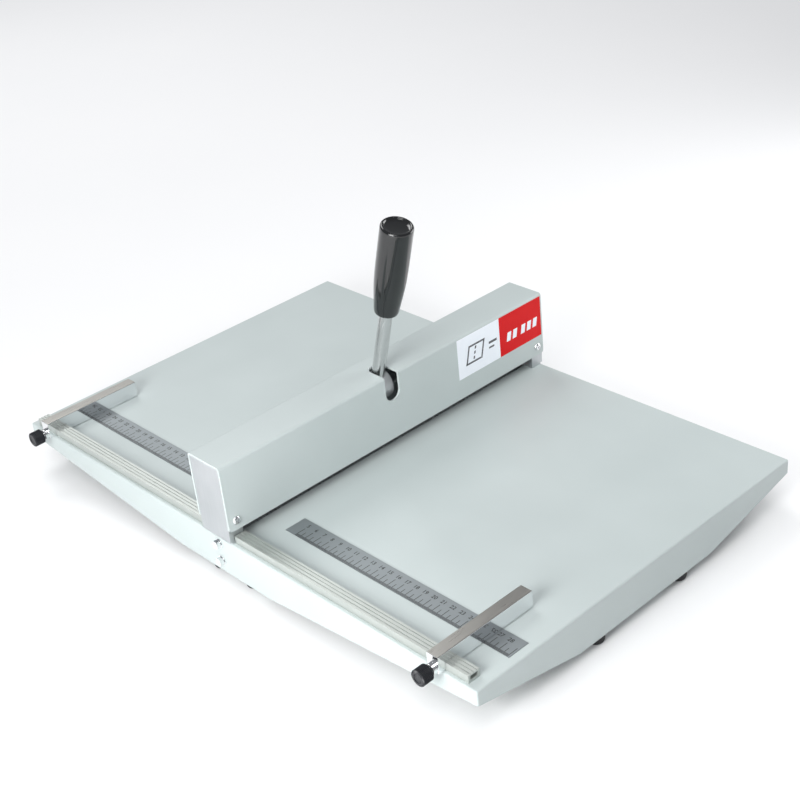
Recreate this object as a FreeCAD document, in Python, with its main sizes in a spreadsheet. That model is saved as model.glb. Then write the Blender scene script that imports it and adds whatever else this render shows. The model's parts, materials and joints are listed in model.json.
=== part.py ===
import FreeCAD, Part
import math
import os
import re
import Sketcher

# A hand-lever creasing machine: a folded sheet-steel table on rubber feet, a covered cross beam over it,
# and under the cover a cam shaft that presses a creasing blade down into a grooved strip.
# Frame: X is the way the paper is fed, Y runs from front to back along the beam, Z is up.
# The origin is on the floor, under the middle of the whole machine. Heights named below are measured
# from the table's top face, distances along the beam from the table's front or rear edge.

SIZES = {
    # Table: one folded sheet with hexagonal skirts and turned-in flanges.
    "deck_width": 600, "deck_depth": 385, "deck_top": 47, "sheet": 1.5, "bend": 2,
    "skirt_corner": 13, "skirt_deep": 37, "front_flat": 100, "end_flat": 155, "flange": 24,
    # Feet and their screws.
    "foot_radius": 8, "foot_recess_radius": 4.2, "foot_recess": 4,
    "end_foot_inset": 11, "end_foot_half": 52, "middle_foot_half": 22.5, "middle_foot_inset": 13.5,
    "foot_screw_radius": 2, "foot_head_radius": 3.5, "foot_head": 2.4, "foot_nut": 3.2, "foot_nut_hex": 4.04,
    # Bar under the table, and the bolts that hold it to the skirts.
    "bar_half": 18, "bar_low": 35, "bolt_high": 6.6, "bolt_low": 24.4, "bolt_radius": 2,
    "bolt_hex": 4.04, "bolt_head": 4, "bolt_long": 12, "washer_radius": 4.6, "washer": 1.2,
    # Grooved strip let into the table.
    "strip_half": 8, "strip_deep": 4.5, "groove_half": 1, "groove_deep": 1.5, "strip_gap": 0.2,
    "strip_screw_side": 4.6, "strip_screw_pitch": 110, "strip_screw_head": 2.8, "strip_screw_radius": 1.5,
    "strip_screw_long": 12,
    # End blocks and the screws that come up into them through the bar.
    "block_half": 18.9, "block_out": 1.5, "block_in": 13, "block_tall": 74.4, "lip_tall": 1.6,
    "lip_in": 1, "guide_half": 6.2, "guide_in": 3.5, "guide_tall": 37,
    "post_screw_side": 12, "post_screw_in": 7, "post_screw_radius": 2.5, "post_screw_up": 15,
    "post_head_radius": 4.25, "post_head": 5.5,
    # Cover, its slot for the lever, its screws and its label.
    "cover_half": 21, "cover_sheet": 2, "cover_low": 13, "cover_high": 76.6, "cover_out": 1.7,
    "cover_bend": 2.6, "cover_corner": 3, "slot_half": 8.25, "slot_left": -4, "slot_low": 50.7,
    "cover_screw_in": 6.7, "cover_screw_high": 22.3, "cover_screw_radius": 1.9, "cover_head_radius": 3.9,
    "cover_head": 2.2, "cover_screw_long": 7,
    "label_start": 79.5, "label_end": 192.5, "label_low": 33, "label_high": 74, "label_thick": 0.15,
    # Rails and rulers.
    "rail_start": 19.6, "rail_end": 289.2, "rail_front": 3.1, "rail_back": 14.7, "rail_tall": 7.3,
    "rail_groove": 0.8, "rail_groove_deep": 0.5, "rail_groove_step": 3.2, "rail_hollow_half": 3.6,
    "rail_hollow_low": 2.6, "rail_hollow_high": 5.8, "rail_screw_pitch": 110, "rail_screw_radius": 2,
    "rail_screw_up": 2.4, "rail_head_radius": 3.5, "rail_head": 2.6,
    "ruler_start": 37.7, "ruler_end": 292, "ruler_front": 42, "ruler_back": 63.5, "ruler_thick": 0.5,
    # Sliding stops and their thumb screws.
    "right_stop": 260.7, "left_stop": -263.5, "stop_half": 5.75, "stop_out": 4, "stop_long": 97,
    "stop_clear": 0.8, "stop_tall": 16, "stop_gap": 0.3, "stop_edge": 0.6, "knob_high": 4,
    "knob_radius": 7, "knob_reach": 20.2, "knob_long": 10.6, "knob_socket": 7.5, "knob_edge": 1,
    "stud_radius": 2.5, "stud_gap": 0.1, "nut_radius": 5, "nut_long": 3.8,
    # Drive shaft, bushes and cams.
    "shaft_high": 59, "shaft_radius": 6, "shaft_short": 0.2, "bush_radius": 8, "bush_long": 10,
    "bush_flange_radius": 10, "bush_flange": 1.5, "running": 0.05, "cam_from_middle": 132.5,
    "cam_wide": 10, "cam_near": 10.5, "cam_disc": 9.8, "cam_gap": 0.15, "cam_lead_in": 25, "cam_lead_out": 6,
    "grub_radius": 2, "grub_long": 3.4, "stroke": 6, "lever_travel": 73.5,
    # Lever.
    "lever_back": -2.2, "lever_tilt": 16.5, "hub_radius": 14, "hub_wide": 15, "rod_start": 6.6,
    "rod_radius": 6, "rod_end": 150, "grip_start": 84.5, "grip_end": 174, "grip_low_radius": 11.1,
    "grip_top_radius": 14.3, "grip_belly": 620, "grip_dish": 2.5, "grip_rim": 1.6, "grip_edge": 2,
    # Blade carrier, blade, cam pads and springs.
    "carrier_half": 6, "carrier_low": 10, "carrier_high": 31, "carrier_in": 4, "blade_half": 0.7,
    "blade_in": 15, "blade_low": 5.5, "blade_high": 20, "blade_screw_pitch": 55, "blade_screw_high": 15,
    "blade_screw_radius": 1.5, "blade_head_radius": 2.6, "blade_head": 1.6,
    "pad_half": 7.5, "pad_wide": 12, "pad_foot_wide": 26, "pad_foot": 4, "pad_screw_from": 9.6,
    "pad_screw_radius": 2, "pad_head_radius": 3.4, "pad_head": 4, "pad_screw_deep": 8,
    "spring_in": 8.75, "spring_radius": 2.9, "spring_inner": 1.9, "spring_pocket": 3.3, "spring_tall": 24,
    # A drilled hole is this much wider, all round, than the screw in it.
    "drill": 0.04,
}

doc = FreeCAD.newDocument("creasing_machine")
sizes = doc.addObject("Spreadsheet::Sheet", "Sizes")
for row, (alias, number) in enumerate(SIZES.items(), start=1):
    sizes.set("A%d" % row, alias)
    sizes.set("B%d" % row, str(number))
    sizes.setAlias("B%d" % row, alias)
doc.recompute()
subparts = []

# The box around the whole machine ends at the thumb screws in front and the bolt heads behind,
# so the middle of the table lies a little behind the origin.
MIDDLE = "((knob_reach - washer - bolt_head) / 2)"
FRONT, REAR = -1, 1
END_NAMES = {FRONT: "front", REAR: "rear"}
RIGHT, LEFT = 1, -1
SIDE_NAMES = {RIGHT: "right", LEFT: "left"}
TURN = {
    "X": FreeCAD.Rotation(FreeCAD.Vector(0, 1, 0), 90),
    "Y": FreeCAD.Rotation(FreeCAD.Vector(1, 0, 0), -90),
    "Z": FreeCAD.Rotation(),
}


def bound(text):
    """An expression in which each name of a size points at its cell."""
    return re.sub(r"[a-z_]+", lambda word: "Sizes." + word.group(0), str(text))


def value(text):
    """What an expression comes to now."""
    return float(sizes.evalExpression(bound(text)))


def up(height):
    """A height above the table's top face, in the part's frame."""
    return "(deck_top + %s)" % height


def along(end, inset):
    """A place measured inwards from the table's front or rear edge."""
    return "(%s + %d * (deck_depth / 2 - (%s)))" % (MIDDLE, end, inset)


def ordered(first, last):
    """Two expressions, the lower one first."""
    return sorted((first, last), key=value)


def keep(shape_object, label):
    """Name a finished sub-part."""
    shape_object.Label = label
    subparts.append(shape_object)
    return shape_object


def block(xs, ys, zs, label="box"):
    """A box between two places along each axis."""
    made = doc.addObject("Part::Box", label)
    for axis, size, (low, high) in zip("xyz", ("Length", "Width", "Height"), (xs, ys, zs)):
        low, high = ordered(low, high)
        made.setExpression(size, bound("(%s) - (%s)" % (high, low)))
        made.setExpression("Placement.Base." + axis, bound(low))
    return made


def rod(axis, start, end, radius, place, label="rod"):
    """A cylinder along an axis, through the given place on the other two axes."""
    made = doc.addObject("Part::Cylinder", label)
    start, end = ordered(start, end)
    made.Placement = FreeCAD.Placement(FreeCAD.Vector(), TURN[axis])
    made.setExpression("Radius", bound(radius))
    made.setExpression("Height", bound("(%s) - (%s)" % (end, start)))
    others = [name for name in "XYZ" if name != axis]
    for name, spot in [(axis, start)] + list(zip(others, place)):
        made.setExpression("Placement.Base." + name.lower(), bound(spot))
    return made


def hexagon(axis, start, end, radius, place, label="hexagon"):
    """A hexagonal prism along an axis."""
    made = doc.addObject("Part::Prism", label)
    start, end = ordered(start, end)
    made.Polygon = 6
    made.Placement = FreeCAD.Placement(FreeCAD.Vector(), TURN[axis])
    made.setExpression("Circumradius", bound(radius))
    made.setExpression("Height", bound("(%s) - (%s)" % (end, start)))
    others = [name for name in "XYZ" if name != axis]
    for name, spot in [(axis, start)] + list(zip(others, place)):
        made.setExpression("Placement.Base." + name.lower(), bound(spot))
    return made


def joined(pieces, label="joined"):
    """One solid from several."""
    made = doc.addObject("Part::MultiFuse", label)
    made.Shapes = pieces
    made.Refine = True
    return made


def less(base, tools, label="cut"):
    """A solid with others cut out of it."""
    made = doc.addObject("Part::Cut", label)
    made.Base = base
    made.Tool = tools[0] if len(tools) == 1 else joined(tools, label + "_tools")
    return made


def grouped(pieces, label):
    """Separate solids that share one name."""
    made = doc.addObject("Part::Compound", label)
    made.Links = pieces
    return made


def new_body(label):
    """An empty body for sketched features."""
    made = doc.addObject("PartDesign::Body", label)
    return keep(made, label)


def new_sketch(body, role, offset):
    """A sketch on one of the body's own origin planes, lifted along the plane's normal."""
    sketch = body.newObject("Sketcher::SketchObject", body.Label + "_sketch")
    planes = [face for face in body.Origin.OriginFeatures if face.Role == role]
    sketch.AttachmentSupport = [(planes[0], "")]
    sketch.MapMode = "FlatFace"
    sketch.setExpression("AttachmentOffset.Base.z", bound(offset))
    return sketch


def pin_point(sketch, geometry, point, place):
    """Tie a point of a sketch to a place given by two expressions."""
    for kind, text in zip(("DistanceX", "DistanceY"), place):
        number = sketch.addConstraint(Sketcher.Constraint(kind, -1, 1, geometry, point, value(text)))
        sketch.setExpression("Constraints[%d]" % number, bound(text))


def outline(body, role, corners, offset="0"):
    """A closed sketch of straight runs."""
    sketch = new_sketch(body, role, offset)
    spots = [FreeCAD.Vector(value(across), value(upward), 0) for across, upward in corners]
    count = len(spots)
    for index in range(count):
        sketch.addGeometry(Part.LineSegment(spots[index], spots[(index + 1) % count]))
    for index in range(count):
        sketch.addConstraint(Sketcher.Constraint("Coincident", index, 2, (index + 1) % count, 1))
        pin_point(sketch, index, 1, corners[index])
    return sketch


def rectangle(body, role, across, upward, offset="0"):
    """A rectangular sketch between two places each way."""
    (left, right), (low, high) = ordered(*across), ordered(*upward)
    return outline(body, role, [(left, low), (right, low), (right, high), (left, high)], offset)


def circles(body, role, centres, radius, offset="0"):
    """A sketch of equal circles."""
    sketch = new_sketch(body, role, offset)
    normal = FreeCAD.Vector(0, 0, 1)
    for index, (across, upward) in enumerate(centres):
        centre = FreeCAD.Vector(value(across), value(upward), 0)
        sketch.addGeometry(Part.Circle(centre, normal, value(radius)))
        pin_point(sketch, index, 3, (across, upward))
        number = sketch.addConstraint(Sketcher.Constraint("Radius", index, value(radius)))
        sketch.setExpression("Constraints[%d]" % number, bound(radius))
    return sketch


def pad(body, sketch, length, midplane=False):
    """Raise a sketch into material."""
    feature = body.newObject("PartDesign::Pad", body.Label + "_pad")
    feature.Profile = sketch
    feature.Midplane = midplane
    feature.setExpression("Length", bound(length))
    doc.recompute()


def pocket(body, sketch, length):
    """Cut a sketch into the body, half the length each way, and make sure that material went."""
    before = body.Shape.Volume
    feature = body.newObject("PartDesign::Pocket", body.Label + "_pocket")
    feature.Profile = sketch
    feature.Midplane = True
    feature.setExpression("Length", bound(length))
    doc.recompute()
    if body.Shape.Volume >= before:
        raise RuntimeError(feature.Name + " cuts nothing")


def round_edges(body, chosen, radius):
    """Fillet the edges of the body's tip that pass a test of their two ends."""
    feature = body.newObject("PartDesign::Fillet", body.Label + "_fillet")
    tip = feature.BaseFeature or body.Tip
    names = []
    for index, edge in enumerate(tip.Shape.Edges, start=1):
        if chosen(edge):
            names.append("Edge%d" % index)
    feature.Base = (tip, names)
    feature.setExpression("Radius", bound(radius))
    doc.recompute()


def strip_screw_places():
    """Where the flat-head screws of the grooved strip stand: side and place along the beam."""
    steps = (-1.5, -0.5, 0.5, 1.5)
    return [("(%d * strip_screw_side)" % (-1) ** index, "(%s + %s * strip_screw_pitch)" % (MIDDLE, step))
            for index, step in enumerate(steps)]


def post_screw_places():
    """Where the screws come up into the end blocks."""
    return [("(%d * post_screw_side)" % side, along(end, "post_screw_in"))
            for end in (FRONT, REAR) for side in (LEFT, RIGHT)]


def rail_screw_places(side):
    """Where the screws come up into one rail."""
    middle = "(rail_start + rail_end) / 2"
    return [("(%d * (%s + %d * rail_screw_pitch))" % (side, middle, step),
             along(FRONT, "(rail_front + rail_back) / 2")) for step in (-1, 0, 1)]


def foot_places():
    """Where the feet stand: two at the middle of the front, two behind, two at each end."""
    feet = {}
    for end in (FRONT, REAR):
        for side in (LEFT, RIGHT):
            feet["rubber_foot_%s_mid_%s" % (END_NAMES[end], SIDE_NAMES[side])] = (
                "(%d * middle_foot_half)" % side, along(end, "middle_foot_inset"))
            feet["rubber_foot_%s_end_%s" % (SIDE_NAMES[side], END_NAMES[end])] = (
                "(%d * (deck_width / 2 - end_foot_inset))" % side,
                "(%s + %d * end_foot_half)" % (MIDDLE, end))
    return feet


def skirt_corners(half, flat_half, centre):
    """The hexagon of a skirt, seen square on."""
    corner, deep = up("-skirt_corner"), up("-skirt_deep")
    return [("%s - %s" % (centre, half), "deck_top"), ("%s - %s" % (centre, half), corner),
            ("%s - %s" % (centre, flat_half), deep), ("%s + %s" % (centre, flat_half), deep),
            ("%s + %s" % (centre, half), corner), ("%s + %s" % (centre, half), "deck_top")]


def make_base_shell():
    """The folded table: top, four hexagonal skirts and the flanges that carry the feet."""
    body = new_body("base_shell")
    front, back = along(FRONT, "0"), along(REAR, "0")
    half_width = "deck_width / 2"
    flange_low = up("-skirt_deep")
    across = ("-%s" % half_width, half_width)
    pad(body, rectangle(body, "XY_Plane", across, (front, back), "deck_top - sheet"), "sheet")
    face = skirt_corners(half_width, "front_flat / 2", "0")
    pad(body, outline(body, "XZ_Plane", face, "-(%s + sheet)" % front), "sheet")
    pad(body, outline(body, "XZ_Plane", face, "-%s" % back), "sheet")
    face = skirt_corners("deck_depth / 2", "end_flat / 2", MIDDLE)
    pad(body, outline(body, "YZ_Plane", face, "%s - sheet" % half_width), "sheet")
    pad(body, outline(body, "YZ_Plane", face, "-%s" % half_width), "sheet")
    for end in (FRONT, REAR):
        reach = (along(end, "0"), along(end, "flange"))
        flat = ("-front_flat / 2", "front_flat / 2")
        pad(body, rectangle(body, "XY_Plane", flat, reach, flange_low), "sheet")
    for side in (LEFT, RIGHT):
        reach = ("%d * %s" % (side, half_width), "%d * (%s - flange)" % (side, half_width))
        flat = ("%s - end_flat / 2" % MIDDLE, "%s + end_flat / 2" % MIDDLE)
        pad(body, rectangle(body, "XY_Plane", reach, flat, flange_low), "sheet")

    edge_x, edge_front, edge_back, top = value(half_width), value(front), value(back), value("deck_top")

    def on_outer_bend(edge):
        ends = [vertex.Point for vertex in edge.Vertexes]
        around_top = all(abs(spot.z - top) < 1e-6 for spot in ends)
        at_corner = all(abs(abs(spot.x) - edge_x) < 1e-6 for spot in ends)
        at_corner = at_corner and all(min(abs(spot.y - edge_front), abs(spot.y - edge_back)) < 1e-6
                                      for spot in ends)
        return around_top or at_corner

    round_edges(body, on_outer_bend, "bend")
    strip = ("-(strip_half + strip_gap)", "strip_half + strip_gap")
    length = (along(FRONT, "block_in"), along(REAR, "block_in"))
    pocket(body, rectangle(body, "XY_Plane", strip, length, "deck_top"), "4 * sheet")
    bolts = [("0", up("-bolt_high")), ("0", up("-bolt_low"))]
    bolt_holes = circles(body, "XZ_Plane", bolts, "bolt_radius + 3 * drill", "-%s" % MIDDLE)
    pocket(body, bolt_holes, "2 * deck_depth")
    posts = circles(body, "XY_Plane", post_screw_places(), "post_screw_radius + drill", "deck_top")
    pocket(body, posts, "4 * sheet")
    access = circles(body, "XY_Plane", post_screw_places(), "post_head_radius + washer", flange_low)
    pocket(body, access, "4 * sheet")
    screws = rail_screw_places(LEFT) + rail_screw_places(RIGHT)
    rail_holes = circles(body, "XY_Plane", screws, "rail_screw_radius + drill", "deck_top")
    pocket(body, rail_holes, "4 * sheet")
    feet = list(foot_places().values())
    foot_holes = circles(body, "XY_Plane", feet, "foot_screw_radius + drill", flange_low)
    pocket(body, foot_holes, "4 * sheet")


def make_base_beam():
    """The bar under the table that ties the two end blocks and the skirts together."""
    body = new_body("base_beam")
    top, low, floor = up("-sheet"), up("-bar_low"), up("-strip_deep")
    half, slot = "bar_half", "(strip_half + strip_gap)"
    profile = [("-%s" % half, low), (half, low), (half, top), (slot, top), (slot, floor),
               ("-%s" % slot, floor), ("-%s" % slot, top), ("-%s" % half, top)]
    offset = "-(%s)" % along(REAR, "sheet")
    pad(body, outline(body, "XZ_Plane", profile, offset), "deck_depth - 2 * sheet")
    bolts = [("0", up("-bolt_high")), ("0", up("-bolt_low"))]
    for end in (FRONT, REAR):
        hole = circles(body, "XZ_Plane", bolts, "bolt_radius + drill", "-%s" % along(end, "sheet"))
        pocket(body, hole, "2 * bolt_long")
    holes = circles(body, "XY_Plane", post_screw_places(), "post_screw_radius + drill", low)
    pocket(body, holes, "3 * bar_low")
    seats = circles(body, "XY_Plane", post_screw_places(), "post_head_radius + 2 * drill", low)
    pocket(body, seats, "2 * post_head")
    strip = circles(body, "XY_Plane", strip_screw_places(), "strip_screw_radius + drill", floor)
    pocket(body, strip, "2 * strip_screw_long")


def strip_screw(place, spare):
    """A flat-head screw, flush with the strip; with some room to spare it is its own hole."""
    head = doc.addObject("Part::Cone", "head")
    rise = "(strip_screw_head - strip_screw_radius)"
    head.setExpression("Radius1", bound("strip_screw_radius + %s" % spare))
    head.setExpression("Radius2", bound("strip_screw_head + %s" % spare))
    head.setExpression("Height", bound(rise))
    for axis, spot in zip("xyz", place + (up("-%s" % rise),)):
        head.setExpression("Placement.Base." + axis, bound(spot))
    shank = rod("Z", up("-strip_screw_long"), up("-%s / 2" % rise), "strip_screw_radius + %s" % spare, place)
    return joined([head, shank])


def make_creasing_strip():
    """The grooved steel strip under the blade, and the flat-head screws that hold it down."""
    ends = (along(FRONT, "block_in + strip_gap"), along(REAR, "block_in + strip_gap"))
    strip = block(("-strip_half", "strip_half"), ends, (up("-strip_deep"), "deck_top"))
    groove = block(("-groove_half", "groove_half"), (along(FRONT, "0"), along(REAR, "0")),
                   (up("-groove_deep"), up("groove_deep")))
    holes = [strip_screw(place, "drill") for place in strip_screw_places()]
    keep(less(strip, [groove] + holes), "creasing_strip")
    screws = [strip_screw(place, "0") for place in strip_screw_places()]
    keep(grouped(screws, "strip_screws"), "strip_screws")


def make_end_block(end):
    """A thick end block: shaft seat above, open guide for the blade carrier below."""
    body = new_body(END_NAMES[end] + "_end_block")
    outer, inner, lip = along(end, "-block_out"), along(end, "block_in"), along(end, "lip_in")
    foot, top = "deck_top", up("block_tall")
    side = [(outer, up("lip_tall")), (lip, up("lip_tall")), (lip, foot), (inner, foot), (inner, top),
            (outer, top)]
    pad(body, outline(body, "YZ_Plane", side), "2 * block_half", midplane=True)
    guide = rectangle(body, "XY_Plane", ("-guide_half", "guide_half"), (along(end, "guide_in"), inner), foot)
    pocket(body, guide, "2 * guide_tall")
    seat = circles(body, "XZ_Plane", [("0", up("shaft_high"))], "bush_radius", "-%s" % inner)
    pocket(body, seat, "2 * bush_long")
    posts = [place for place in post_screw_places() if place[1] == along(end, "post_screw_in")]
    holes = circles(body, "XY_Plane", posts, "post_screw_radius + drill", foot)
    pocket(body, holes, "2 * (post_screw_up + drill)")
    spot = [(along(end, "cover_screw_in"), up("cover_screw_high"))]
    depth = "2 * (cover_screw_long + 1)"
    for side in (LEFT, RIGHT):
        hole = circles(body, "YZ_Plane", spot, "cover_screw_radius + drill", "%d * block_half" % side)
        pocket(body, hole, depth)


def make_end_block_screws():
    """Four cap screws from under the bar, two into each end block."""
    screws = []
    seat, low = up("-(bar_low - post_head)"), up("-bar_low")
    for place in post_screw_places():
        head = rod("Z", low, seat, "post_head_radius", place)
        shank = rod("Z", seat, up("post_screw_up"), "post_screw_radius", place)
        screws.append(joined([head, shank]))
    keep(grouped(screws, "end_block_screws"), "end_block_screws")


def make_beam_bolts():
    """Hexagon bolts and washers, two through each skirt into the bar's end."""
    bolts, washers = [], []
    for end in (FRONT, REAR):
        face, seat, tip = along(end, "0"), along(end, "-washer"), along(end, "bolt_long")
        for height in ("bolt_high", "bolt_low"):
            place = ("0", up("-" + height))
            head = hexagon("Y", seat, along(end, "-(washer + bolt_head)"), "bolt_hex", place)
            bolts.append(joined([head, rod("Y", seat, tip, "bolt_radius", place)]))
            hole = rod("Y", face, seat, "bolt_radius + drill", place)
            washers.append(less(rod("Y", face, seat, "washer_radius", place), [hole]))
    keep(grouped(bolts, "beam_bolts"), "beam_bolts")
    keep(grouped(washers, "beam_washers"), "beam_washers")


def make_beam_cover():
    """The folded channel over the beam, with the slot that the lever swings in."""
    body = new_body("beam_cover")
    high, low, inner_high = up("cover_high"), up("cover_low"), up("(cover_high - cover_sheet)")
    half, inner = "cover_half", "(cover_half - cover_sheet)"
    profile = [("-%s" % half, low), ("-%s" % inner, low), ("-%s" % inner, inner_high),
               (inner, inner_high), (inner, low), (half, low), (half, high), ("-%s" % half, high)]
    offset = "-(%s)" % along(REAR, "-cover_out")
    pad(body, outline(body, "XZ_Plane", profile, offset), "deck_depth + 2 * cover_out")
    top, bottom, side = value(high), value(low), value(half)
    ends = (value(along(FRONT, "-cover_out")), value(along(REAR, "-cover_out")))

    def on_bend(edge):
        spots = [vertex.Point for vertex in edge.Vertexes]
        lengthwise = abs(spots[0].x - spots[-1].x) < 1e-6
        outside = all(abs(abs(spot.x) - side) < 1e-6 for spot in spots)
        return lengthwise and outside and all(abs(spot.z - top) < 1e-6 for spot in spots)

    def on_low_corner(edge):
        spots = [vertex.Point for vertex in edge.Vertexes]
        level = all(abs(spot.z - bottom) < 1e-6 for spot in spots)
        return level and any(all(abs(spot.y - end) < 1e-6 for spot in spots) for end in ends)

    round_edges(body, on_bend, "cover_bend")
    round_edges(body, on_low_corner, "cover_corner")
    lever = "(%s + lever_back)" % MIDDLE
    slot = ("%s - slot_half" % lever, "%s + slot_half" % lever)
    deep = "4 * (cover_sheet + cover_bend)"
    turn_x, turn_z = "(slot_left + slot_half)", up("(slot_low + slot_half)")
    top_slot = rectangle(body, "XY_Plane", (turn_x, "2 * cover_half"), slot, high)
    pocket(body, top_slot, deep)
    pocket(body, circles(body, "XY_Plane", [(turn_x, lever)], "slot_half", high), deep)
    side_slot = rectangle(body, "YZ_Plane", slot, (turn_z, up("2 * cover_high")), half)
    pocket(body, side_slot, deep)
    pocket(body, circles(body, "YZ_Plane", [(lever, turn_z)], "slot_half", half), deep)
    screws = [(along(end, "cover_screw_in"), up("cover_screw_high")) for end in (FRONT, REAR)]
    pocket(body, circles(body, "YZ_Plane", screws, "cover_screw_radius + 2 * drill"), "4 * cover_half")


def make_cover_screws():
    """Pan-head screws through the cover's sides into the end blocks."""
    screws = []
    for end in (FRONT, REAR):
        for side in (LEFT, RIGHT):
            place = (along(end, "cover_screw_in"), up("cover_screw_high"))
            seat, outside = "%d * cover_half" % side, "%d * (cover_half + cover_head)" % side
            tip = "%d * (block_half - cover_screw_long)" % side
            head = rod("X", seat, outside, "cover_head_radius", place)
            screws.append(joined([head, rod("X", seat, tip, "cover_screw_radius", place)]))
    keep(grouped(screws, "cover_screws"), "cover_screws")


def make_side_label():
    """A thin film label on the right side of the cover."""
    thickness = ("cover_half", "cover_half + label_thick")
    length = ("%s + label_start" % MIDDLE, "%s + label_end" % MIDDLE)
    keep(block(thickness, length, (up("label_low"), up("label_high"))), "side_label")


def make_rail(side):
    """A grooved aluminium rail along the front edge, hollow, held by screws from below."""
    body = new_body(SIDE_NAMES[side] + "_rail")
    front, back = along(FRONT, "rail_front"), along(FRONT, "rail_back")
    middle = "(%s + %s) / 2" % (front, back)
    foot, top, floor = "deck_top", up("rail_tall"), up("(rail_tall - rail_groove_deep)")
    profile = [(front, foot), (back, foot), (back, top)]
    for step in (1, 0, -1):
        centre = "%s + %d * rail_groove_step" % (middle, step)
        profile += [("%s + rail_groove / 2" % centre, top), ("%s + rail_groove / 2" % centre, floor),
                    ("%s - rail_groove / 2" % centre, floor), ("%s - rail_groove / 2" % centre, top)]
    profile.append((front, top))
    centre_x = "%d * (rail_start + rail_end) / 2" % side
    pad(body, outline(body, "YZ_Plane", profile, centre_x), "rail_end - rail_start", midplane=True)
    hollow = rectangle(body, "YZ_Plane", ("%s - rail_hollow_half" % middle, "%s + rail_hollow_half" % middle),
                       (up("rail_hollow_low"), up("rail_hollow_high")), centre_x)
    pocket(body, hollow, "2 * rail_end")
    holes = circles(body, "XY_Plane", rail_screw_places(side), "rail_screw_radius + drill", foot)
    pocket(body, holes, "2 * (rail_screw_up + drill)")


def make_rail_screws():
    """Pan-head screws under the table, three into each rail."""
    screws = []
    for place in rail_screw_places(LEFT) + rail_screw_places(RIGHT):
        head = rod("Z", up("-(sheet + rail_head)"), up("-sheet"), "rail_head_radius", place)
        shank = rod("Z", up("-sheet"), up("rail_screw_up"), "rail_screw_radius", place)
        screws.append(joined([head, shank]))
    keep(grouped(screws, "rail_screws"), "rail_screws")


def make_ruler(side):
    """A thin steel scale stuck to the table."""
    length = ("%d * ruler_start" % side, "%d * ruler_end" % side)
    width = (along(FRONT, "ruler_front"), along(FRONT, "ruler_back"))
    keep(block(length, width, ("deck_top", up("ruler_thick"))), SIDE_NAMES[side] + "_ruler")


def make_stop(side):
    """A sliding paper stop that straddles the rail, its nut, and its thumb screw."""
    name = SIDE_NAMES[side]
    body = new_body(name + "_stop")
    nose, back_of_leg = along(FRONT, "-stop_out"), along(FRONT, "rail_front - stop_gap")
    over_rail, tail = along(FRONT, "rail_back + stop_gap"), along(FRONT, "stop_long")
    low, notch, top = up("stop_clear"), up("(rail_tall + stop_gap)"), up("stop_tall")
    profile = [(nose, low), (back_of_leg, low), (back_of_leg, notch), (over_rail, notch),
               (over_rail, low), (tail, low), (tail, top), (nose, top)]
    centre = name + "_stop"
    pad(body, outline(body, "YZ_Plane", profile, centre), "2 * stop_half", midplane=True)
    high = value(top)

    def on_top(edge):
        return all(abs(vertex.Point.z - high) < 1e-6 for vertex in edge.Vertexes)

    round_edges(body, on_top, "stop_edge")
    place = (centre, up("knob_high"))
    hole = circles(body, "XZ_Plane", [place], "stud_radius + running", "-%s" % nose)
    pocket(body, hole, "4 * stop_out")

    nut_face = along(FRONT, "-(stop_out + nut_long)")
    knob_face = along(FRONT, "-(knob_reach - knob_long)")
    nut = less(rod("Y", nose, nut_face, "nut_radius", place),
               [rod("Y", nose, nut_face, "stud_radius + running", place)])
    keep(nut, name + "_stop_nut")
    knob_end = along(FRONT, "-knob_reach")
    socket = along(FRONT, "-(knob_reach - knob_long + knob_socket)")
    stud_tip = along(FRONT, "rail_front - stud_gap")
    knob = doc.addObject("Part::Chamfer", name + "_knob")
    knob.Base = rod("Y", knob_end, knob_face, "knob_radius", place)
    doc.recompute()
    edge = value("knob_edge")
    knob.Edges = [(index, edge, edge) for index, curve in enumerate(knob.Base.Shape.Edges, start=1)
                  if isinstance(curve.Curve, Part.Circle)]
    keep(less(knob, [rod("Y", socket, knob_face, "stud_radius + drill", place)]), name + "_thumb_knob")
    keep(rod("Y", socket, stud_tip, "stud_radius", place), name + "_thumb_stud")


def make_bush(end):
    """A flanged bronze bush in the end block."""
    inner, floor = along(end, "block_in"), along(end, "(block_in - bush_long)")
    face, place = along(end, "(block_in + bush_flange)"), ("0", up("shaft_high"))
    sleeve = joined([rod("Y", floor, inner, "bush_radius - drill", place),
                     rod("Y", inner, face, "bush_flange_radius", place)])
    bore = rod("Y", floor, face, "shaft_radius + running", place)
    keep(less(sleeve, [bore]), END_NAMES[end] + "_bush")


def make_shaft():
    """The shaft that carries the cams and the lever's hub."""
    short = "(block_in - bush_long + shaft_short)"
    shaft = rod("Y", along(FRONT, short), along(REAR, short), "shaft_radius", ("0", up("shaft_high")))
    keep(shaft, "drive_shaft")


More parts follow.
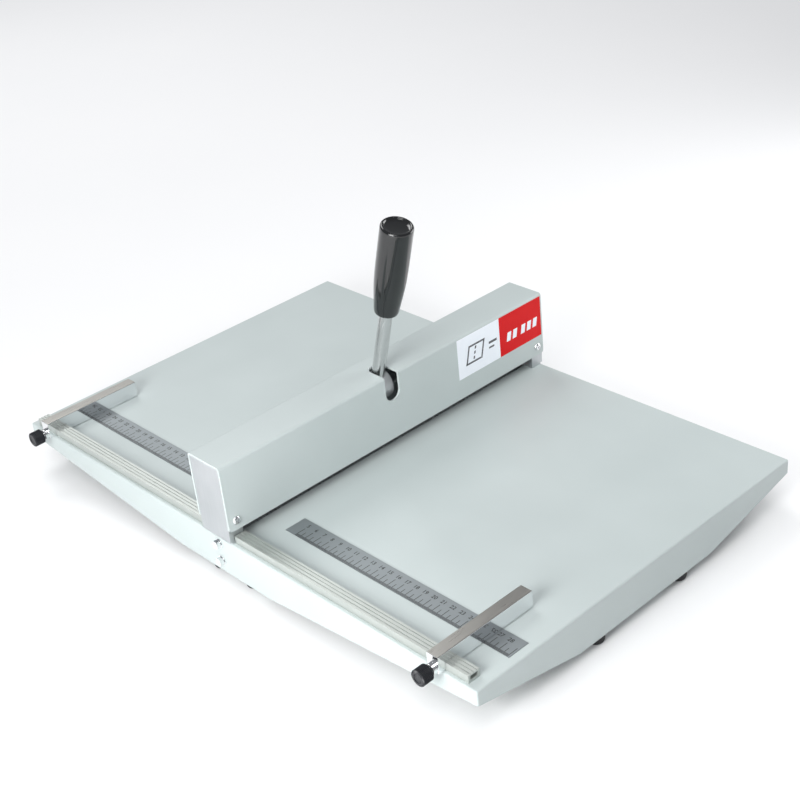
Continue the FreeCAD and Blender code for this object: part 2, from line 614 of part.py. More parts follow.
def cam_outline():
    """The cam's face about its own axis, in the plane of X and Z.

    The working side is the involute of a circle: turned by an angle, it has pushed a flat pad down by
    that angle times one rate, so the blade's travel keeps a constant ratio to the lever's.
    """
    rate = value("stroke") / math.radians(value("lever_travel"))
    near, disc = value("cam_near") - value("cam_gap"), value("cam_disc")
    first = -math.radians(value("cam_lead_in"))
    last = math.radians(value("lever_travel") + value("cam_lead_out"))

    def involute(turn):
        reach = near + rate * turn
        return FreeCAD.Vector(reach * math.sin(turn) + rate * math.cos(turn), 0,
                              -reach * math.cos(turn) + rate * math.sin(turn))

    count = 12
    spots = [involute(first + (last - first) * index / count) for index in range(count + 1)]
    curve = Part.BSplineCurve()
    curve.interpolate(spots)
    tip = spots[-1]
    bearing = math.atan2(tip.z, tip.x) + math.acos(disc / tip.Length)
    touch = FreeCAD.Vector(disc * math.cos(bearing), 0, disc * math.sin(bearing))
    centre = FreeCAD.Vector()
    edges = [Part.LineSegment(centre, spots[0]).toShape(), curve.toShape(),
             Part.LineSegment(tip, touch).toShape(), Part.LineSegment(touch, centre).toShape()]
    return Part.Face(Part.Wire(edges))


def cam_middle(end):
    return "(%s + %d * cam_from_middle)" % (MIDDLE, end)


def make_cam(end):
    """A plate cam with a grub screw's hole in its low side."""
    wide, disc = value("cam_wide"), value("cam_disc")
    lift = FreeCAD.Vector(0, wide, 0)
    round_part = Part.makeCylinder(disc, wide, FreeCAD.Vector(), FreeCAD.Vector(0, 1, 0))
    plate = round_part.fuse(cam_outline().extrude(lift)).removeSplitter()
    bore = Part.makeCylinder(value("shaft_radius + drill"), wide, FreeCAD.Vector(),
                             FreeCAD.Vector(0, 1, 0))
    hole = Part.makeCylinder(value("grub_radius + drill"), 2 * disc, FreeCAD.Vector(0, wide / 2, 0))
    cam = doc.addObject("Part::Feature", END_NAMES[end] + "_cam")
    cam.Shape = plate.cut(bore).cut(hole)
    cam.Placement = FreeCAD.Placement(
        FreeCAD.Vector(0, value(cam_middle(end)) - wide / 2, value(up("shaft_high"))), FreeCAD.Rotation())
    keep(cam, END_NAMES[end] + "_cam")


def make_cam_grub_screws():
    """The grub screws that lock the cams to the shaft."""
    start = up("(shaft_high + shaft_radius + drill)")
    end = up("(shaft_high + shaft_radius + drill + grub_long)")
    screws = [rod("Z", start, end, "grub_radius", ("0", cam_middle(side))) for side in (FRONT, REAR)]
    keep(grouped(screws, "cam_grub_screws"), "cam_grub_screws")


def lean(shape_object):
    """Stand a lever piece, made along Z about the shaft, at the lever's rest angle."""
    shape_object.Placement = FreeCAD.Placement(
        FreeCAD.Vector(), FreeCAD.Rotation(FreeCAD.Vector(0, 1, 0), value("lever_tilt")))
    shape_object.setExpression("Placement.Rotation.Angle", bound("lever_tilt"))
    shape_object.setExpression("Placement.Base.y", bound("%s + lever_back" % MIDDLE))
    shape_object.setExpression("Placement.Base.z", bound(up("shaft_high")))
    return shape_object


def make_lever():
    """The hub on the shaft, the steel rod screwed into it, and the moulded grip."""
    half = "hub_wide / 2"
    ring = rod("Y", "-%s" % half, half, "hub_radius", ("0", "0"))
    bore = rod("Y", "-%s" % half, half, "shaft_radius + drill", ("0", "0"))
    socket = rod("Z", "rod_start", "2 * hub_radius", "rod_radius + drill", ("0", "0"))
    grub_hole = rod("Z", "-2 * hub_radius", "-shaft_radius", "grub_radius + drill", ("0", "0"))
    keep(lean(less(ring, [bore, socket, grub_hole])), "lever_hub")
    grub = rod("Z", "-(shaft_radius + drill + 2 * grub_long)", "-(shaft_radius + drill)", "grub_radius",
               ("0", "0"))
    keep(lean(grouped([grub], "hub_grub_screw")), "hub_grub_screw")
    bar = rod("Z", "rod_start", "rod_end", "rod_radius", ("0", "0"))
    keep(lean(grouped([bar], "lever_rod")), "lever_rod")
    make_grip()


def make_grip():
    """A barrel-shaped grip, turned about the lever's own line, with a dished end."""
    body = new_body("lever_grip")
    corners = [("rod_radius + drill", "grip_start"), ("grip_low_radius", "grip_start"),
               ("grip_top_radius", "grip_end - grip_edge"), ("grip_top_radius - grip_edge", "grip_end"),
               ("grip_top_radius - grip_edge - grip_rim", "grip_end - grip_dish"),
               ("0", "grip_end - grip_dish"), ("0", "rod_end + drill"),
               ("rod_radius + drill", "rod_end + drill")]
    sketch = new_sketch(body, "XZ_Plane", "0")
    spots = [FreeCAD.Vector(value(across), value(upward), 0) for across, upward in corners]
    count = len(spots)
    barrel = 1
    chord = spots[barrel + 1] - spots[barrel]
    radius = value("grip_belly")
    inward = FreeCAD.Vector(-chord.y, chord.x, 0).normalize()
    centre = (spots[barrel] + spots[barrel + 1]) * 0.5
    centre += inward * math.sqrt(radius ** 2 - (chord.Length / 2) ** 2)
    crown = centre - inward * radius
    for index in range(count):
        start, end = spots[index], spots[(index + 1) % count]
        if index == barrel:
            sketch.addGeometry(Part.Arc(start, crown, end))
        else:
            sketch.addGeometry(Part.LineSegment(start, end))
    for index in range(count):
        sketch.addConstraint(Sketcher.Constraint("Coincident", index, 2, (index + 1) % count, 1))
        pin_point(sketch, index, 1, corners[index])
    number = sketch.addConstraint(Sketcher.Constraint("Radius", barrel, radius))
    sketch.setExpression("Constraints[%d]" % number, bound("grip_belly"))
    turned = body.newObject("PartDesign::Revolution", "lever_grip_turned")
    turned.Profile = sketch
    turned.ReferenceAxis = (sketch, ["V_Axis"])
    turned.Angle = 360
    doc.recompute()
    lean(body)


def spring_place(end):
    return ("0", along(end, "spring_in"))


def make_blade_carrier():
    """The bar that slides in the end blocks, the blade in its slot, and the screws that pinch it."""
    ys = (along(FRONT, "carrier_in"), along(REAR, "carrier_in"))
    bar = block(("-carrier_half", "carrier_half"), ys, (up("carrier_low"), up("carrier_high")))
    blade_ys = (along(FRONT, "blade_in"), along(REAR, "blade_in"))
    slot = block(("-(blade_half + drill)", "blade_half + drill"),
                 (along(FRONT, "blade_in - drill"), along(REAR, "blade_in - drill")),
                 (up("(carrier_low - 1)"), up("(blade_high + drill)")))
    wells = [rod("Z", up("(carrier_low - 1)"), up("spring_tall"), "spring_pocket", spring_place(end))
             for end in (FRONT, REAR)]
    screw_ys = ["(%s + %d * blade_screw_pitch)" % (MIDDLE, step) for step in range(-3, 4)]
    places = [(y, up("blade_screw_high")) for y in screw_ys]
    holes = [rod("X", "0", "2 * carrier_half", "blade_screw_radius + drill", place) for place in places]
    pad_hole = (up("(carrier_high - pad_screw_deep)"), up("(carrier_high + 1)"))
    for place in pad_screw_places(FRONT) + pad_screw_places(REAR):
        holes.append(rod("Z", *pad_hole, "pad_screw_radius + drill", place))
    keep(less(bar, [slot] + wells + holes), "blade_carrier")
    blade = block(("-blade_half", "blade_half"), blade_ys, (up("blade_low"), up("blade_high")))
    keep(blade, "crease_blade")
    screws = []
    for place in places:
        shank = rod("X", "blade_half + drill", "carrier_half", "blade_screw_radius", place)
        head = rod("X", "carrier_half", "carrier_half + blade_head", "blade_head_radius", place)
        screws.append(joined([shank, head]))
    keep(grouped(screws, "blade_screws"), "blade_screws")


def pad_screw_places(end):
    """Where the two screws of a cam pad stand."""
    return [("0", "(%s + %d * pad_screw_from)" % (cam_middle(end), step)) for step in (-1, 1)]


def make_cam_pads():
    """The hardened pads on the carrier that the cams push on, and their screws."""
    seat, foot_top = up("carrier_high"), up("(carrier_high + pad_foot)")
    for end in (FRONT, REAR):
        middle = cam_middle(end)
        foot_ys = ("%s - pad_foot_wide / 2" % middle, "%s + pad_foot_wide / 2" % middle)
        foot = block(("-carrier_half", "carrier_half"), foot_ys, (seat, foot_top))
        post_ys = ("%s - pad_wide / 2" % middle, "%s + pad_wide / 2" % middle)
        post = block(("-pad_half", "pad_half"), post_ys, (seat, up("(shaft_high - cam_near)")))
        holes = [rod("Z", seat, foot_top, "pad_screw_radius + drill", place)
                 for place in pad_screw_places(end)]
        keep(less(joined([foot, post]), holes), END_NAMES[end] + "_cam_pad")
    screws = []
    for place in pad_screw_places(FRONT) + pad_screw_places(REAR):
        shank = rod("Z", up("(carrier_high - pad_screw_deep + drill)"), foot_top, "pad_screw_radius", place)
        head = rod("Z", foot_top, up("(carrier_high + pad_foot + pad_head)"), "pad_head_radius", place)
        screws.append(joined([shank, head]))
    keep(grouped(screws, "pad_screws"), "pad_screws")


def make_spring(end):
    """A return spring, as the plain sleeve that its coils fill."""
    place = spring_place(end)
    top = up("(spring_tall - drill)")
    sleeve = less(rod("Z", "deck_top", top, "spring_radius", place),
                  [rod("Z", "deck_top", top, "spring_inner", place)])
    keep(sleeve, END_NAMES[end] + "_return_spring")


def make_feet():
    """Rubber feet, each with a screw up through the flange and a nut on top of it."""
    screws, nuts = [], []
    recess = "foot_recess"
    flange_low, flange_top = up("-skirt_deep"), up("-(skirt_deep - sheet)")
    for name, place in foot_places().items():
        foot = rod("Z", "0", flange_low, "foot_radius", place)
        well = rod("Z", "0", recess, "foot_recess_radius", place)
        bore = rod("Z", recess, flange_low, "foot_screw_radius + drill", place)
        keep(less(foot, [well, bore]), name)
        head = rod("Z", "%s - foot_head" % recess, recess, "foot_head_radius", place)
        shank = rod("Z", recess, "%s + foot_nut + drill" % flange_top, "foot_screw_radius", place)
        screws.append(joined([head, shank]))
        nut_top = "%s + foot_nut" % flange_top
        nut = hexagon("Z", flange_top, nut_top, "foot_nut_hex", place)
        hole = rod("Z", flange_top, nut_top, "foot_screw_radius + drill", place)
        nuts.append(less(nut, [hole]))
    keep(grouped(screws, "foot_screws"), "foot_screws")
    keep(grouped(nuts, "foot_nuts"), "foot_nuts")


def check_and_write():
    """Stop at any object that failed, then write each sub-part to its own file."""
    doc.recompute()
    for item in doc.Objects:
        if "Invalid" in item.State or "Error" in item.State:
            raise RuntimeError("%s failed: %s" % (item.Name, item.State))
    for item in subparts:
        if item.Shape.isNull() or not item.Shape.isValid():
            raise RuntimeError(item.Label + " has no valid shape")
    os.makedirs("parts", exist_ok=True)
    for item in subparts:
        item.Shape.exportStep(os.path.join("parts", item.Label + ".step"))
        print(item.Label, len(item.Shape.Solids), round(item.Shape.Volume, 1))


make_base_shell()
make_base_beam()
make_creasing_strip()
for end in (FRONT, REAR):
    make_end_block(end)
    make_bush(end)
    make_cam(end)
    make_spring(end)
make_end_block_screws()
make_beam_bolts()
make_beam_cover()
make_cover_screws()
make_side_label()
for side in (LEFT, RIGHT):
    make_rail(side)
    make_ruler(side)
    make_stop(side)
make_rail_screws()
make_shaft()
make_cam_grub_screws()
make_lever()
make_blade_carrier()
make_cam_pads()
make_feet()
check_and_write()
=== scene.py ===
import json
import math
import bmesh
import bpy
from mathutils import Matrix, Quaternion, Vector

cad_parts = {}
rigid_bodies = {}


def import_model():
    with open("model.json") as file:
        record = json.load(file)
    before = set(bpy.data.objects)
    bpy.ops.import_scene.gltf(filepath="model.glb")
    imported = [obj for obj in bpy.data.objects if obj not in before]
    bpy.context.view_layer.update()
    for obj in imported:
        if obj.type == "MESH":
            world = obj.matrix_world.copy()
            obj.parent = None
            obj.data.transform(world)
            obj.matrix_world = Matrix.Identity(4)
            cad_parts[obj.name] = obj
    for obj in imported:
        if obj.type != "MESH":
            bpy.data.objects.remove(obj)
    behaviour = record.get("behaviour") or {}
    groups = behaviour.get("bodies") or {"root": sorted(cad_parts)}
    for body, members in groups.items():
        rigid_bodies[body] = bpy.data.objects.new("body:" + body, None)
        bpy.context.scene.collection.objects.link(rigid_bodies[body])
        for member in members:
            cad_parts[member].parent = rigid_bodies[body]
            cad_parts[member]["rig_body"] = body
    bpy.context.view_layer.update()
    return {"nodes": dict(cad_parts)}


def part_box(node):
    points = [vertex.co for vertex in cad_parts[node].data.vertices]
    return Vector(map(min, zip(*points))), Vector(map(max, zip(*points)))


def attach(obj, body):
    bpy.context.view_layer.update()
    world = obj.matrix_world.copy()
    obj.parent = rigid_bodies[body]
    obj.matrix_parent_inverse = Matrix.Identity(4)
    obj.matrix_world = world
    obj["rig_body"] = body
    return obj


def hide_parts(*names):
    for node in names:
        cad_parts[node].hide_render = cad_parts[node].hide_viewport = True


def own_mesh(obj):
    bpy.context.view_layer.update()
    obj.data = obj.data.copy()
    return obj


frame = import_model()
scene = bpy.context.scene

# --- Camera, floor and lights -----------------------------------------------------------------------------
# The machine stands on a plain pale floor, seen from its front right corner and a little from above.
# A broad soft light stands at its left, a weak one high at the right, and two low ones graze it from the
# front right and the rear right.
aim = Vector((0.0625, -0.0231, 0.1260))
distance = 1.25
azimuth, elevation, roll = math.radians(49.43), math.radians(30.0), math.radians(-6.21)
away = Vector((math.sin(azimuth) * math.cos(elevation), -math.cos(azimuth) * math.cos(elevation),
               math.sin(elevation)))
camera = bpy.data.objects.new("camera", bpy.data.cameras.new("camera"))
camera.data.lens = 66.48
camera.data.sensor_width = 36
camera.location = aim + distance * away
camera.rotation_mode = "QUATERNION"
camera.rotation_quaternion = away.to_track_quat("Z", "Y") @ Quaternion((0, 0, 1), roll)
scene.collection.objects.link(camera)
scene.camera = camera
scene.view_settings.view_transform = "Standard"


def start_material(name):
    """A new material with its shader, and a way to add nodes to it."""
    made = bpy.data.materials.new(name)
    made.use_nodes = True
    tree = made.node_tree
    shader = next(node for node in tree.nodes if node.type == "BSDF_PRINCIPLED")

    def add(kind, inputs=(), **settings):
        node = tree.nodes.new(kind)
        for key, setting in settings.items():
            setattr(node, key, setting)
        for key, source in dict(inputs).items():
            if isinstance(source, bpy.types.NodeSocket):
                tree.links.new(source, node.inputs[key])
            else:
                node.inputs[key].default_value = source
        return node

    return made, shader, add


def grain(add, scale, stretch=(1, 1, 1), detail=3.0):
    """Noise fixed to the object, stretched along an axis for brushed and drawn metal."""
    place = add("ShaderNodeTexCoord").outputs["Object"]
    mapped = add("ShaderNodeMapping", {"Vector": place, "Scale": stretch}).outputs["Vector"]
    noise = add("ShaderNodeTexNoise", {"Vector": mapped, "Scale": scale, "Detail": detail})
    return noise.outputs["Fac"]


def ramp(add, source, low, high):
    """The source's middle range spread between two values."""
    return add("ShaderNodeMapRange", {"Value": source, "From Min": 0.3, "From Max": 0.7, "To Min": low,
                                      "To Max": high}).outputs["Result"]


def tint(add, source, dark, light):
    """A colour between two others, by the source."""
    mix = add("ShaderNodeMix", {0: source}, data_type="RGBA")
    mix.inputs[6].default_value = (*dark, 1)
    mix.inputs[7].default_value = (*light, 1)
    return mix.outputs[2]


def relief(add, source, depth):
    """A bump of that depth, in metres, from the source."""
    return add("ShaderNodeBump", {"Height": source, "Distance": depth, "Strength": 1.0}).outputs["Normal"]


def wire(made, shader, **sources):
    """Join sources to the shader's inputs, named with underscores for spaces."""
    for key, source in sources.items():
        made.node_tree.links.new(source, shader.inputs[key.replace("_", " ")])


floor_paint, shader, add = start_material("floor_paint")
shader.inputs["Roughness"].default_value = 0.85
wire(floor_paint, shader, Base_Color=tint(add, grain(add, 3), (0.90, 0.905, 0.91), (0.93, 0.93, 0.93)))
room = bmesh.new()
floor_reach = 9
bmesh.ops.create_grid(room, x_segments=1, y_segments=1, size=floor_reach)
floor_mesh = bpy.data.meshes.new("floor")
room.to_mesh(floor_mesh)
room.free()
floor_mesh.materials.append(floor_paint)
floor = bpy.data.objects.new("floor", floor_mesh)
scene.collection.objects.link(floor)

studio = bpy.data.worlds.new("studio")
studio.use_nodes = True
sky = studio.node_tree.nodes["Background"]
sky.inputs["Color"].default_value = (0.93, 0.95, 1.0, 1)
sky.inputs["Strength"].default_value = 0.30
scene.world = studio
lights = (("high_sun", "SUN", (0.5, -0.6, 1.3), "angle", math.radians(30), 0.8),
          ("left_light", "AREA", (-1.7, 0.4, 2.1), "size", 1.4, 27),
          ("front_right_light", "AREA", (0.34, -0.95, 0.45), "size", 0.5, 11),
          ("rear_right_light", "AREA", (0.34, 0.85, 0.45), "size", 0.5, 3.6))
lit_spot = Vector((0, 0, 0.05))
for name, kind, place, softness, amount, power in lights:
    lamp = bpy.data.objects.new(name, bpy.data.lights.new(name, kind))
    setattr(lamp.data, softness, amount)
    lamp.data.energy = power
    lamp.location = place
    lamp.rotation_euler = (lit_spot - Vector(place)).to_track_quat("-Z", "Y").to_euler()
    scene.collection.objects.link(lamp)

# --- Folded table -----------------------------------------------------------------------------------------
# One sheet of 1.5 mm steel, folded down on all four sides into deep hexagonal skirts and turned in again
# at their flats to carry the feet. It is powder coated a pale grey-green, with a fine even skin.
mm = 0.001
sheet = 1.5 * mm


def piece(name, made, materials, body, stands_for=(), crease=32):
    """Turn a bmesh into an object that rides on a CAD body."""
    mesh = bpy.data.meshes.new(name)
    made.to_mesh(mesh)
    made.free()
    for material in materials:
        mesh.materials.append(material)
    mesh.shade_smooth()
    mesh.set_sharp_from_angle(angle=math.radians(crease))
    item = bpy.data.objects.new(name, mesh)
    scene.collection.objects.link(item)
    flat = item.modifiers.new("flat_faces", "WEIGHTED_NORMAL")
    flat.keep_sharp = True
    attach(item, body)
    if stands_for:
        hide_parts(*stands_for)
    return item


def sharp_edges(made):
    """The edges where two faces meet at more than 30 degrees."""
    limit = math.radians(30)
    return [edge for edge in made.edges if len(edge.link_faces) == 2 and edge.calc_face_angle(0) > limit]


def soften(made, edges, width, segments=2):
    """Round the given edges a little."""
    bmesh.ops.bevel(made, geom=edges, offset=width, segments=segments, profile=0.5, affect="EDGES",
                    material=-1, clamp_overlap=True)


powder_coat, shader, add = start_material("powder_coat")
mottle = grain(add, 14, detail=2)
skin = grain(add, 1500, detail=2)
wire(powder_coat, shader,
     Base_Color=tint(add, ramp(add, mottle, 0, 1), (0.480, 0.537, 0.532), (0.502, 0.559, 0.554)),
     Roughness=ramp(add, skin, 0.40, 0.50), Normal=relief(add, skin, 0.00003))
shader.inputs["Specular IOR Level"].default_value = 0.45

low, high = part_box("base_shell")
middle_y = (low.y + high.y) / 2
corner_z, deep_z = high.z - 13 * mm, low.z
front_flat, end_flat, flange = 50 * mm, 77.5 * mm, 24 * mm


def islands(node):
    """The box of each separate solid in a node, from left to right and front to back."""
    made = bmesh.new()
    made.from_mesh(frame["nodes"][node].data)
    bmesh.ops.remove_doubles(made, verts=made.verts, dist=1e-6)
    waiting, boxes = set(made.verts), []
    while waiting:
        found, looked_at = [waiting.pop()], 0
        while looked_at < len(found):
            for edge in found[looked_at].link_edges:
                other = edge.other_vert(found[looked_at])
                if other in waiting:
                    waiting.remove(other)
                    found.append(other)
            looked_at += 1
        spots = [vert.co for vert in found]
        boxes.append((Vector([min(spot[axis] for spot in spots) for axis in range(3)]),
                      Vector([max(spot[axis] for spot in spots) for axis in range(3)])))
    made.free()
    return sorted(boxes, key=lambda box: [round(number, 4) for number in box[0]])


def carved(base, cutter):
    """The base with the cutter's shape taken out of it."""
    pair = []
    for made in (base, cutter):
        bmesh.ops.recalc_face_normals(made, faces=made.faces)
        mesh = bpy.data.meshes.new("carving")
        made.to_mesh(mesh)
        made.free()
        item = bpy.data.objects.new("carving", mesh)
        scene.collection.objects.link(item)
        pair.append(item)
    cut = pair[0].modifiers.new("cut", "BOOLEAN")
    cut.operation = "DIFFERENCE"
    cut.solver = "EXACT"
    cut.object = pair[1]
    graph = bpy.context.evaluated_depsgraph_get()
    result = bmesh.new()
    result.from_mesh(bpy.data.meshes.new_from_object(pair[0].evaluated_get(graph)))
    for item in pair:
        bpy.data.objects.remove(item)
    bmesh.ops.remove_doubles(result, verts=result.verts, dist=1e-7)
    return result


def prism(radius, low_z, high_z, sides):
    """A straight prism or cylinder about Z."""
    made = bmesh.new()
    bmesh.ops.create_cone(made, cap_ends=True, segments=sides, radius1=radius, radius2=radius,
                          depth=high_z - low_z, matrix=Matrix.Translation((0, 0, (low_z + high_z) / 2)))
    return made


def level_faces(made):
    """The faces of the table's flat top."""
    return [face for face in made.faces if all(vert.co.z > high.z - 1e-6 for vert in face.verts)]


def slot_in_top(made):
    """Open the slot that the grooved strip lies in."""
    strip_low, strip_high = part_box("creasing_strip")
    gap = 0.2 * mm
    for place, normal in (((strip_low.x - gap, 0, 0), (1, 0, 0)), ((strip_high.x + gap, 0, 0), (1, 0, 0)),
                          ((0, strip_low.y - gap, 0), (0, 1, 0)), ((0, strip_high.y + gap, 0), (0, 1, 0))):
        level = level_faces(made)
        geometry = level + list({edge for face in level for edge in face.edges})
        geometry += list({vert for face in level for vert in face.verts})
        bmesh.ops.bisect_plane(made, geom=geometry, plane_co=place, plane_no=normal)
    middles = [(face, face.calc_center_median()) for face in level_faces(made)]
    over_strip = [face for face, middle in middles
                  if strip_low.x < middle.x < strip_high.x and strip_low.y < middle.y < strip_high.y]
    bmesh.ops.delete(made, geom=over_strip, context="FACES_ONLY")


def access_holes():
    """The cutter for the holes in the flanges through which the end blocks' screws go in."""
    radius, reach = 5.45 * mm, 1.2 * sheet * 2
    made = bmesh.new()
    for low_corner, high_corner in islands("end_block_screws"):
        centre = (low_corner + high_corner) / 2
        bmesh.ops.create_cone(made, cap_ends=True, segments=32, radius1=radius, radius2=radius, depth=reach,
                              matrix=Matrix.Translation((centre.x, centre.y, deep_z)))
    return made


def build_table():
    """The table: its top, skirts and flanges folded from one sheet, with rounded bends."""
    made = bmesh.new()

    def corner(x, y, z):
        return made.verts.new((x, y, z))

    top = [corner(x, y, high.z)
           for x, y in ((low.x, low.y), (high.x, low.y), (high.x, high.y), (low.x, high.y))]
    ends = [corner(v.co.x, v.co.y, corner_z) for v in top]
    top_face = made.faces.new(top)
    # Each skirt's flat, from corner to corner, and the way that its flange turns in.
    flats = (((-front_flat, low.y), (front_flat, low.y), (0, flange)),
             ((high.x, middle_y - end_flat), (high.x, middle_y + end_flat), (-flange, 0)),
             ((front_flat, high.y), (-front_flat, high.y), (0, -flange)),
             ((low.x, middle_y + end_flat), (low.x, middle_y - end_flat), (flange, 0)))
    bends = list(top_face.edges)
    for index, (first, second, inward) in enumerate(flats):
        following = (index + 1) % 4
        lower = [corner(*first, deep_z), corner(*second, deep_z)]
        made.faces.new((top[following], top[index], ends[index], lower[0], lower[1], ends[following]))
        lip = [corner(spot[0] + inward[0], spot[1] + inward[1], deep_z) for spot in (first, second)]
        made.faces.new((lower[1], lower[0], lip[0], lip[1]))
        bends.append(made.edges.get((lower[0], lower[1])))
        bends.append(made.edges.get((top[index], ends[index])))
    slot_in_top(made)
    bmesh.ops.recalc_face_normals(made, faces=made.faces)
    soften(made, sharp_edges(made), 1.5 * mm, segments=5)
    if level_faces(made)[0].normal.z < 0:
        bmesh.ops.reverse_faces(made, faces=made.faces)
    bmesh.ops.solidify(made, geom=made.faces, thickness=sheet)
    return carved(made, access_holes())


piece("base_shell_folded", build_table(), [powder_coat], "base", ["base_shell"])

# --- Bar under the table ----------------------------------------------------------------------------------
# A milled aluminium bar runs under the table from skirt to skirt. The grooved strip lies in its top and
# both end blocks are pulled down onto it, so it takes the whole creasing force.
milled, shader, add = start_material("milled_aluminium")
cutter_marks = grain(add, 60, stretch=(30, 1, 30), detail=4)
wire(milled, shader, Base_Color=tint(add, cutter_marks, (0.60, 0.60, 0.62), (0.70, 0.70, 0.72)),
     Roughness=ramp(add, cutter_marks, 0.30, 0.46), Normal=relief(add, cutter_marks, 0.00002))
shader.inputs["Metallic"].default_value = 1.0


def from_cad(node, width):
    """The node's own shape, merged, with its sharp edges broken."""
    made = bmesh.new()
    made.from_mesh(frame["nodes"][node].data)
    bmesh.ops.remove_doubles(made, verts=made.verts, dist=1e-6)
    bmesh.ops.dissolve_limit(made, angle_limit=math.radians(0.6), verts=made.verts, edges=made.edges)
    soften(made, sharp_edges(made), width)
    return made


def body_of(node):
    """The CAD body that holds a node."""
    return frame["nodes"][node]["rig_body"]


def finished(node, material, width=0.2 * mm):
    """A machined piece: the node's shape with broken edges, in its material."""
    return piece(node + "_finished", from_cad(node, width), [material], body_of(node), [node])


finished("base_beam", milled, 0.4 * mm)

# --- Grooved strip ----------------------------------------------------------------------------------------
# A ground strip of hardened steel, let in flush with the table, with one straight groove under the blade.
# Four flat-head screws hold it to the bar.
ground, shader, add = start_material("ground_steel")
lay = grain(add, 40, stretch=(1, 60, 60), detail=5)
wire(ground, shader, Base_Color=tint(add, lay, (0.40, 0.40, 0.42), (0.52, 0.52, 0.54)),
     Roughness=ramp(add, lay, 0.22, 0.36), Normal=relief(add, lay, 0.00001))
shader.inputs["Metallic"].default_value = 1.0

finished("creasing_strip", ground, 0.15 * mm)

zinc, shader, add = start_material("zinc_plate")
bloom = grain(add, 500)
wire(zinc, shader, Base_Color=tint(add, bloom, (0.55, 0.56, 0.58), (0.68, 0.69, 0.70)),
     Roughness=ramp(add, bloom, 0.24, 0.38))
shader.inputs["Metallic"].default_value = 1.0


def join(whole, made):
    """Add a finished part to a whole."""
    mesh = bpy.data.meshes.new("part")
    made.to_mesh(mesh)
    made.free()
    whole.from_mesh(mesh)
    bpy.data.meshes.remove(mesh)


def grow(made, corners, rise):
    """A prism from its bottom corners and the way that it rises."""
    face = made.faces.new([made.verts.new(spot) for spot in corners])
    grown = bmesh.ops.extrude_face_region(made, geom=[face])["geom"]
    moved = [item for item in grown if isinstance(item, bmesh.types.BMVert)]
    bmesh.ops.translate(made, verts=moved, vec=rise)


def turned(outline, steps=32):
    """A solid of revolution about Z from (radius, height) points that start and end on the axis."""
    made = bmesh.new()
    verts = [made.verts.new((radius, 0, height)) for radius, height in outline]
    edges = [made.edges.new(pair) for pair in zip(verts, verts[1:])]
    bmesh.ops.spin(made, geom=verts + edges, cent=(0, 0, 0), axis=(0, 0, 1), angle=math.tau, steps=steps,
                   use_merge=True, use_duplicate=False)
    bmesh.ops.remove_doubles(made, verts=made.verts, dist=1e-7)
    bmesh.ops.recalc_face_normals(made, faces=made.faces)
    return made


def cross(radius, low_z, high_z):
    """The cutter for a cross recess."""
    wide = 0.2 * radius
    quarter = [Vector((wide, -radius, low_z)), Vector((wide, -wide, low_z)), Vector((radius, -wide, low_z))]
    made = bmesh.new()
    grow(made, [Matrix.Rotation(turn * math.pi / 2, 3, "Z") @ spot for turn in range(4) for spot in quarter],
         (0, 0, high_z - low_z))
    return made


def screw(head_radius, head, shank_radius, long, recess):
    """A screw with its seat at z = 0, its head above and its shank below."""
    chamfer = 0.4 * mm
    if recess == "cross":
        outline = [(0, head), (0.45 * head_radius, 0.97 * head), (0.78 * head_radius, 0.80 * head),
                   (0.95 * head_radius, 0.50 * head), (head_radius, 0.22 * head), (head_radius, 0)]
        drive = cross(0.52 * head_radius, 0.35 * head, 2 * head)
    elif recess == "flat_cross":
        outline = [(0, head), (0.96 * head_radius, head), (head_radius, 0.96 * head), (shank_radius, 0)]
        drive = cross(0.60 * head_radius, 0.3 * head, 2 * head)
    else:
        outline = [(0, head), (head_radius - chamfer, head), (head_radius, head - chamfer), (head_radius, 0)]
        drive = prism(0.56 * head_radius, 0.35 * head, 2 * head, 6)
    outline += [(shank_radius, 0), (shank_radius, -long + 0.5 * mm), (shank_radius - chamfer, -long),
                (0, -long)]
    return carved(turned(outline, 28), drive)


def fitted(node, form, head, direction, material, name="screws"):
    """Put a copy of a screw at each solid of a node, with its head towards a direction worked out there."""
    together = bmesh.new()
    for low_corner, high_corner in islands(node):
        centre = (low_corner + high_corner) / 2
        outward = direction(centre)
        reach = sum(abs(outward[axis]) * (high_corner - low_corner)[axis] for axis in range(3)) / 2
        turn = outward.to_track_quat("Z", "X").to_matrix().to_4x4()
        copy = form.copy()
        bmesh.ops.transform(copy, matrix=Matrix.Translation(centre + outward * (reach - head)) @ turn,
                            verts=copy.verts)
        join(together, copy)
    form.free()
    return piece(node + "_" + name, together, [material], body_of(node), [node])


def upwards(centre):
    return Vector((0, 0, 1))


def downwards(centre):
    return Vector((0, 0, -1))


def sideways(centre):
    return Vector((math.copysign(1, centre.x), 0, 0))


def endways(centre):
    return Vector((0, math.copysign(1, centre.y - middle_y), 0))


strip_head = 1.3 * mm
fitted("strip_screws", screw(2.8 * mm, strip_head, 1.5 * mm, 10.7 * mm, "flat_cross"), strip_head, upwards,
       zinc)

# --- End blocks -------------------------------------------------------------------------------------------
# Two thick blocks of aluminium close the beam's ends. Their outer faces are brushed up and down and show
# between the cover's edges; a cap screw on each side comes up into them through the bar.
brushed, shader, add = start_material("brushed_aluminium")
strokes = grain(add, 45, stretch=(40, 40, 1), detail=6)
clouds = grain(add, 28, detail=1)
wire(brushed, shader,
     Base_Color=tint(add, ramp(add, clouds, 0, 1), (0.52, 0.545, 0.56), (0.585, 0.605, 0.62)),
     Roughness=ramp(add, strokes, 0.34, 0.50), Normal=relief(add, strokes, 0.00002))
shader.inputs["Metallic"].default_value = 1.0
shader.inputs["Anisotropic"].default_value = 0.4

